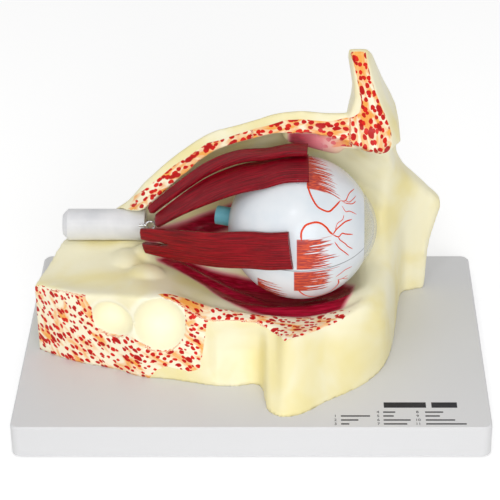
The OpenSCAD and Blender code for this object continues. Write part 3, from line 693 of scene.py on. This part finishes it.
def sclera_material():
    s = Shader("painted_sclera")
    at = s.vector("DIVIDE", s.place(), (MM, MM, MM))
    cloud = s.noise(at, 0.05, 3.0)
    white = s.mix(s.smooth(cloud, 0.35, 0.7), rgb(225, 229, 233), rgb(214, 221, 227))
    strokes = tendon_strokes(s, at, TENDONS[0])
    for patch in TENDONS[1:]:
        strokes = s.math("MAXIMUM", strokes, tendon_strokes(s, at, patch))
    tone = s.noise(s.stretched(at, (0.12, 1.7, 1.7)), 1.0, 2.0)
    red = s.mix(s.smooth(tone, 0.38, 0.58), MUSCLE_RED, rgb(164, 18, 0))
    colour = s.mix(s.product(strokes, 0.95), white, red)
    # the seam between the halves, a fine grey line
    split = s.node("SeparateXYZ", {0: at}).outputs
    rise = s.product(s.math("SUBTRACT", split[2], EYE_Z), math.cos(SEAM_ROLL))
    rise = s.math("SUBTRACT", rise, s.product(split[1], math.sin(SEAM_ROLL)))
    seam = s.smooth(s.math("ABSOLUTE", rise), 0.42, 0.16)
    colour = s.mix(s.product(seam, 0.6), colour, rgb(96, 98, 104))
    s.bump(s.math("ADD", s.noise(at, 0.8, 3.0), s.product(strokes, 0.6)), 0.12, 0.0004)
    return s.surface(Base_Color=colour, Roughness=0.22, Specular_IOR_Level=0.25)


# Loops and vessels: half width, then places x, y, height above the table; they are pushed
# onto the eyeball's skin
UPPER_STROKES = [
    (0.5, [(30, -16, 129), (32, -22, 125), (35, -26, 121), (38, -27, 119), (42, -27, 118),
           (45, -24, 119), (48, -19, 120)]),
    (0.3, [(48, -19, 120), (51, -17, 119), (53, -11, 120), (56, -4, 119)]),
    (0.28, [(50, -19, 119), (53, -17, 117), (55, -15, 116), (57, -12, 116)]),
    (0.25, [(49, -21, 118), (51, -22, 115), (53, -20, 114), (57, -18, 111)]),
    (0.25, [(51, -17, 119), (54, -16, 118), (57, -8, 117)]),
    (0.55, [(27, -38, 106), (27, -36, 110), (29, -34, 113), (32, -33, 114), (35, -32, 114),
            (38, -32, 113), (41, -33, 111), (42, -33, 109), (44, -33, 107)]),
    (0.4, [(44, -33, 107), (46, -31, 109), (48, -29, 110), (51, -26, 111), (54, -22, 110)]),
    (0.35, [(44, -33, 107), (47, -32, 105), (49, -30, 106), (51, -29, 105), (55, -26, 103)]),
    (0.3, [(47, -32, 105), (48, -32, 103), (51, -31, 100), (52, -30, 98), (55, -28, 95)]),
    (0.3, [(45, -34, 103), (47, -34, 100), (48, -33, 98), (51, -32, 95), (53, -30, 92)]),
    (0.22, [(46, -33, 109), (47, -30, 112), (50, -27, 113), (51, -25, 115)])]
LOWER_STROKES = [
    (0.5, [(25, -35, 74), (29, -31, 67), (35, -26, 63), (42, -25, 65), (47, -27, 72),
           (47, -30, 77)]),
    (0.3, [(46, -33, 80), (49, -31, 82), (51, -30, 83), (55, -27, 83)]),
    (0.28, [(47, -31, 77), (50, -29, 76), (53, -27, 77)]),
    (0.22, [(50, -29, 76), (52, -27, 74), (54, -25, 73)])]


STROKE_STEPS = 8
STROKE_END = 0.35  # a ribbon's width at its ends, as a share, and the steps over which it grows
STROKE_GROWS = 4
STROKE_SECTION = ((-1, 0.0), (-0.5, 0.1), (0.5, 0.1), (1, 0.0))  # place across and height


def stroke_mesh(name, strokes):
    """Thin raised ribbons of paint that follow the eyeball's skin."""
    centre = Vector((EYE_X, 0, EYE_Z))
    points, faces = [], []
    for half_width, path in strokes:
        fine = [Vector(p) for p in catmull(path, STROKE_STEPS)]
        out = [(p - centre).normalized() for p in fine]
        base = len(points)
        for i, way_out in enumerate(out):
            ahead = out[min(i + 1, len(out) - 1)] - out[max(i - 1, 0)]
            side = ahead.cross(way_out).normalized()
            from_end = min(i, len(out) - 1 - i) / STROKE_GROWS
            fade = min(1, STROKE_END + (1 - STROKE_END) * from_end)
            for across, lift in STROKE_SECTION:
                place = centre + way_out * (EYE_R + lift) + side * across * half_width * fade
                points.append(place * MM)
        for i in range(len(out) - 1):
            for k in range(3):
                a = base + 4 * i + k
                faces.append((a, a + 1, a + 5, a + 4))
    return mesh_from(name, points, faces)


def paint_eyeball():
    skin = sclera_material()
    for node in ("sclera_upper", "sclera_lower"):
        dress(node, skin)
    s = Shader("painted_vessels")
    tone = s.noise(s.place(), 300.0, 2.0)
    red = s.surface(Base_Color=s.mix(tone, MUSCLE_RED, rgb(210, 40, 8)), Roughness=0.3,
                    Specular_IOR_Level=0.2)
    new_piece("upper_vessels", stroke_mesh("upper_vessels", UPPER_STROKES), "sclera_cap", red)
    new_piece("lower_vessels", stroke_mesh("lower_vessels", LOWER_STROKES), "eyeball", red)


SHARP = math.radians(32)  # an edge that turns more than this gets rounded


def dress(node, material, edge=0.0):
    """Puts a material on a CAD node, and rounds its sharp edges, by edge in millimetres."""
    obj = frame["nodes"][node]
    obj.data.materials.clear()
    obj.data.materials.append(material)
    if edge:
        round_off = obj.modifiers.new("edges", "BEVEL")
        round_off.width = edge * MM
        round_off.segments = 3
        round_off.limit_method = "ANGLE"
        round_off.angle_limit = SHARP


def plain(name, low, high, scale, rough, **more):
    """Two close tones in soft clouds, with a fine grain."""
    s = Shader(name)
    at = s.place()
    tone = s.smooth(s.noise(at, scale, 3.0), 0.3, 0.7)
    s.bump(s.noise(at, 900.0, 3.0), 0.15, 0.0003)
    return s.surface(Base_Color=s.mix(tone, low, high), Roughness=rough, **more)


RETINA_R = EYE_R - 5.5  # between the choroid's outer and inner faces
IRIS_RING = (8.5, 6.5)  # radii over which the brown round the pupil comes in
IRIS_RIM = (16.6, 18.0)  # radii over which the blue darkens to the rim


def choroid_material():
    """Brown-red outside and the retina's orange inside, with branching vessels."""
    s = Shader("choroid_and_retina")
    at = s.place()
    away = s.vector("DISTANCE", at, (EYE_X * MM, 0.0, EYE_Z * MM))
    inner = s.smooth(away, (RETINA_R + 0.3) * MM, (RETINA_R - 0.3) * MM)
    wobble = s.node("TexNoise", {"Vector": at, "Scale": 70.0, "Detail": 2.0})
    bent = s.vector("ADD", at, s.vector("MULTIPLY", s.vector(
        "SUBTRACT", wobble.outputs["Color"], (0.5, 0.5, 0.5)), (0.012, 0.012, 0.012)))
    net = s.node("TexVoronoi", {"Vector": bent, "Scale": 85.0}, feature="DISTANCE_TO_EDGE")
    vessel = s.smooth(net.outputs["Distance"], 0.07, 0.03)
    outer = s.mix(vessel, rgb(132, 54, 36), rgb(176, 40, 34))
    retina = s.mix(vessel, rgb(228, 128, 70), rgb(188, 34, 30))
    s.bump(s.math("ADD", vessel, s.noise(at, 500.0, 3.0)), 0.2, 0.0003)
    return s.surface(Base_Color=s.mix(inner, outer, retina), Roughness=0.35,
                     Specular_IOR_Level=0.3)


def iris_material():
    s = Shader("iris_fibres")
    at = s.vector("SUBTRACT", s.place(), (EYE_X * MM, 0.0, EYE_Z * MM))
    split = s.node("SeparateXYZ", {0: at}).outputs
    turn = s.math("ARCTAN2", split[2], split[1])
    away = s.math("SQRT", s.math("ADD", s.product(split[1], split[1]),
                                 s.product(split[2], split[2])))
    grid = s.node("CombineXYZ", {0: s.product(turn, 16.0), 1: s.product(away, 160.0),
                                 2: 0.0}).outputs[0]
    fibres = s.smooth(s.noise(grid, 1.0, 3.0, 0.3), 0.35, 0.65)
    blue = s.mix(fibres, rgb(46, 84, 128), rgb(128, 168, 196))
    ring = s.smooth(away, IRIS_RING[0] * MM, IRIS_RING[1] * MM)
    colour = s.mix(ring, blue, rgb(150, 110, 60))
    rim = s.smooth(away, IRIS_RIM[0] * MM, IRIS_RIM[1] * MM)
    colour = s.mix(rim, colour, rgb(28, 48, 80))
    s.bump(fibres, 0.4, 0.0003)
    return s.surface(Base_Color=colour, Roughness=0.3, Specular_IOR_Level=0.3)


def clear_material(name, tint, least, most):
    """Clear plastic: nearly unseen face on, whiter towards its rim, a painted reflection where the
    surface turns away.
    """
    s = Shader(name)
    rim = s.node("LayerWeight", {"Blend": 0.35}).outputs["Facing"]
    swirl = s.noise(s.place(), 60.0, 2.0)
    rim = s.math("ADD", s.product(rim, rim), s.product(swirl, 0.04))
    # the white grows more opaque towards the silhouette: painted reflection
    alpha = s.node("MapRange", {"Value": rim, "To Min": least, "To Max": most}).outputs[0]
    return s.surface(Base_Color=tint, Roughness=0.04, Alpha=alpha, Specular_IOR_Level=0.5)


def board_material():
    s = Shader("grey_board")
    at = s.place()
    tone = s.smooth(s.noise(at, 4.0, 2.0), 0.3, 0.7)
    peel = s.noise(at, 260.0, 3.0)
    s.bump(peel, 0.06, 0.0003)
    return s.surface(Base_Color=s.mix(tone, rgb(216, 216, 217), rgb(222, 222, 223)),
                     Roughness=0.38, Specular_IOR_Level=0.35)


def dress_the_rest():
    steel = plain("bright_steel", rgb(196, 198, 202), rgb(216, 217, 220), 300.0, 0.22,
                  Metallic=1.0)
    for node in ("base_screws", "muscle_hook", "eyeball_peg", "seam_pins",
                 "superior_rectus_pins", "lateral_rectus_pins"):
        dress(node, steel)
    dress("base_board", board_material(), 0.4)
    dress("rubber_feet", plain("black_rubber", rgb(36, 36, 38), rgb(48, 48, 50), 200.0, 0.7), 0.3)
    dress("optic_nerve_trunk", plain("nerve_sheath", rgb(226, 226, 228), rgb(212, 213, 216), 60.0,
                                     0.3, Specular_IOR_Level=0.4), 1.4)
    dress("optic_nerve_stub", plain("nerve_blue", rgb(112, 190, 206), rgb(134, 204, 218), 120.0,
                                    0.4, Specular_IOR_Level=0.3), 0.6)
    choroid = choroid_material()
    dress("choroid_upper", choroid)
    dress("choroid_lower", choroid)
    iris = iris_material()
    dress("iris_upper", iris)
    dress("iris_lower", iris)
    dress("lens", clear_material("clear_lens", rgb(240, 246, 248), 0.3, 0.9))
    dress("vitreous_body", clear_material("clear_body", rgb(226, 240, 243), 0.42, 0.9))
    dress("cornea", clear_material("clear_cornea", rgb(244, 248, 250), 0.03, 0.6))


# ---- The board's legend: bars where the words stood, and plain numbers
# Title: x from and to, y and height of each bar
TITLE_BARS = [(72, 95, -68.6, 5.0), (98, 112, -68.6, 5.0)]
WORD_TALL = 1.1
NUMBER_TALL = 3.0
INK_BELOW, INK_ABOVE = 0.05, 0.06  # how far the ink reaches into the board and out of it
LEGEND_ROWS = [-75.2, -78.8, -82.5, -86.1]
# Columns: x of the numbers, x where the words begin, then row, number and x of the word's end
LEGEND = [(45.4, 48.4, [(1, 1, 64.2), (2, 2, 57.8), (3, 3, 52.8)]),
          (68.6, 71.4, [(0, 4, 78), (1, 5, 77), (2, 6, 86), (3, 7, 84)]),
          (90.0, 94.2, [(0, 8, 104), (1, 9, 102), (2, 10, 110), (3, 11, 116)])]


def add_legend():
    ink = plain("legend_ink", rgb(34, 34, 38), rgb(44, 44, 48), 200.0, 0.5,
                Specular_IOR_Level=0.2)
    low, high = BOARD_TOP - INK_BELOW, BOARD_TOP + INK_ABOVE
    points, faces = [], []

    def bar(x0, x1, y, tall):
        base = len(points)
        for z in (low, high):
            for px, py in ((x0, y - tall / 2), (x1, y - tall / 2), (x1, y + tall / 2),
                           (x0, y + tall / 2)):
                points.append((px * MM, py * MM, z * MM))
        for face in ((3, 2, 1, 0), (4, 5, 6, 7), (0, 1, 5, 4), (1, 2, 6, 5), (2, 3, 7, 6),
                     (3, 0, 4, 7)):
            faces.append(tuple(base + i for i in face))

    for title in TITLE_BARS:
        bar(*title)
    for number_x, word_x, words in LEGEND:
        for row, number, end in words:
            bar(word_x, end, LEGEND_ROWS[row], WORD_TALL)
            add_number(number, number_x, LEGEND_ROWS[row], ink)
    new_piece("legend_bars", mesh_from("legend_bars", points, faces, False), "orbit", ink)


def add_number(number, x, y, ink):
    data = bpy.data.curves.new("number", "FONT")
    data.body = str(number)
    data.size = NUMBER_TALL * MM
    data.align_x = "CENTER"
    data.align_y = "CENTER"
    data.extrude = 0.05 * MM
    obj = bpy.data.objects.new("number", data)
    bpy.context.collection.objects.link(obj)
    mesh = evaluated_mesh(obj, "number_%d" % number)
    mesh.transform(Matrix.Translation((x * MM, y * MM, (BOARD_TOP + 0.02) * MM)))
    new_piece("number_%d" % number, mesh, "orbit", ink)


paint_eyeball()
dress_the_rest()
add_legend()

# ---- Floor, light and surroundings
FLOOR_GLOW = 0.4
FLOOR_REACH = 4.0
WORLD_LEVEL = 0.5
# Lamps aim at the model's middle: name, place, size in metres, power
MIDDLE = (0, 0, 0.08)
LAMPS = [("key", (0.25, -1.40, 0.62), (0.8, 0.6), 9.6),
         ("fill", (-0.90, -0.90, 0.70), (0.8, 0.8), 2.2),
         ("top", (0.10, -0.10, 1.40), (0.5, 0.5), 1.0),
         ("glint", (-0.25, -0.90, 1.30), (0.14, 0.10), 1.6)]


def add_surroundings():
    """A pale floor and sky that look white to the camera and in reflections."""
    s = Shader("pale_floor")
    rays = s.node("LightPath").outputs
    seen = s.math("MAXIMUM", s.math("MAXIMUM", rays["Is Camera Ray"], rays["Is Glossy Ray"]),
                  rays["Is Transmission Ray"])
    s.surface(Base_Color=(0.86, 0.86, 0.86, 1), Roughness=0.9, Specular_IOR_Level=0.0,
              Emission_Color=(1, 1, 1, 1), Emission_Strength=s.product(seen, FLOOR_GLOW))
    r = FLOOR_REACH
    corners = [(-r, -r, 0), (r, -r, 0), (r, r, 0), (-r, r, 0)]
    floor = bpy.data.objects.new("floor", mesh_from("floor", corners, [(0, 1, 2, 3)], False))
    floor.data.materials.append(s.material)
    bpy.context.collection.objects.link(floor)
    world = bpy.data.worlds.new("studio")
    bpy.context.scene.world = world
    world.use_nodes = True
    nodes, links = world.node_tree.nodes, world.node_tree.links
    nodes.clear()
    rays = nodes.new("ShaderNodeLightPath").outputs
    seen = rays["Is Camera Ray"]
    for kind in ("Is Glossy Ray", "Is Transmission Ray"):
        both = nodes.new("ShaderNodeMath")
        both.operation = "MAXIMUM"
        links.new(seen, both.inputs[0])
        links.new(rays[kind], both.inputs[1])
        seen = both.outputs[0]
    soft, white = nodes.new("ShaderNodeBackground"), nodes.new("ShaderNodeBackground")
    soft.inputs["Strength"].default_value = WORLD_LEVEL
    white.inputs["Strength"].default_value = 1.0
    for background in (soft, white):
        background.inputs["Color"].default_value = (1, 1, 1, 1)
    mixed, out = nodes.new("ShaderNodeMixShader"), nodes.new("ShaderNodeOutputWorld")
    links.new(seen, mixed.inputs[0])
    links.new(soft.outputs[0], mixed.inputs[1])
    links.new(white.outputs[0], mixed.inputs[2])
    links.new(mixed.outputs[0], out.inputs[0])


def add_softbox(name, place, size, power):
    data = bpy.data.lights.new(name, "AREA")
    data.shape = "RECTANGLE"
    data.size, data.size_y = size
    data.energy = power
    lamp = bpy.data.objects.new(name, data)
    lamp.location = place
    way = Vector(MIDDLE) - Vector(place)
    lamp.rotation_euler = way.to_track_quat("-Z", "Y").to_euler()
    bpy.context.collection.objects.link(lamp)


add_surroundings()
for lamp in LAMPS:
    add_softbox(*lamp)
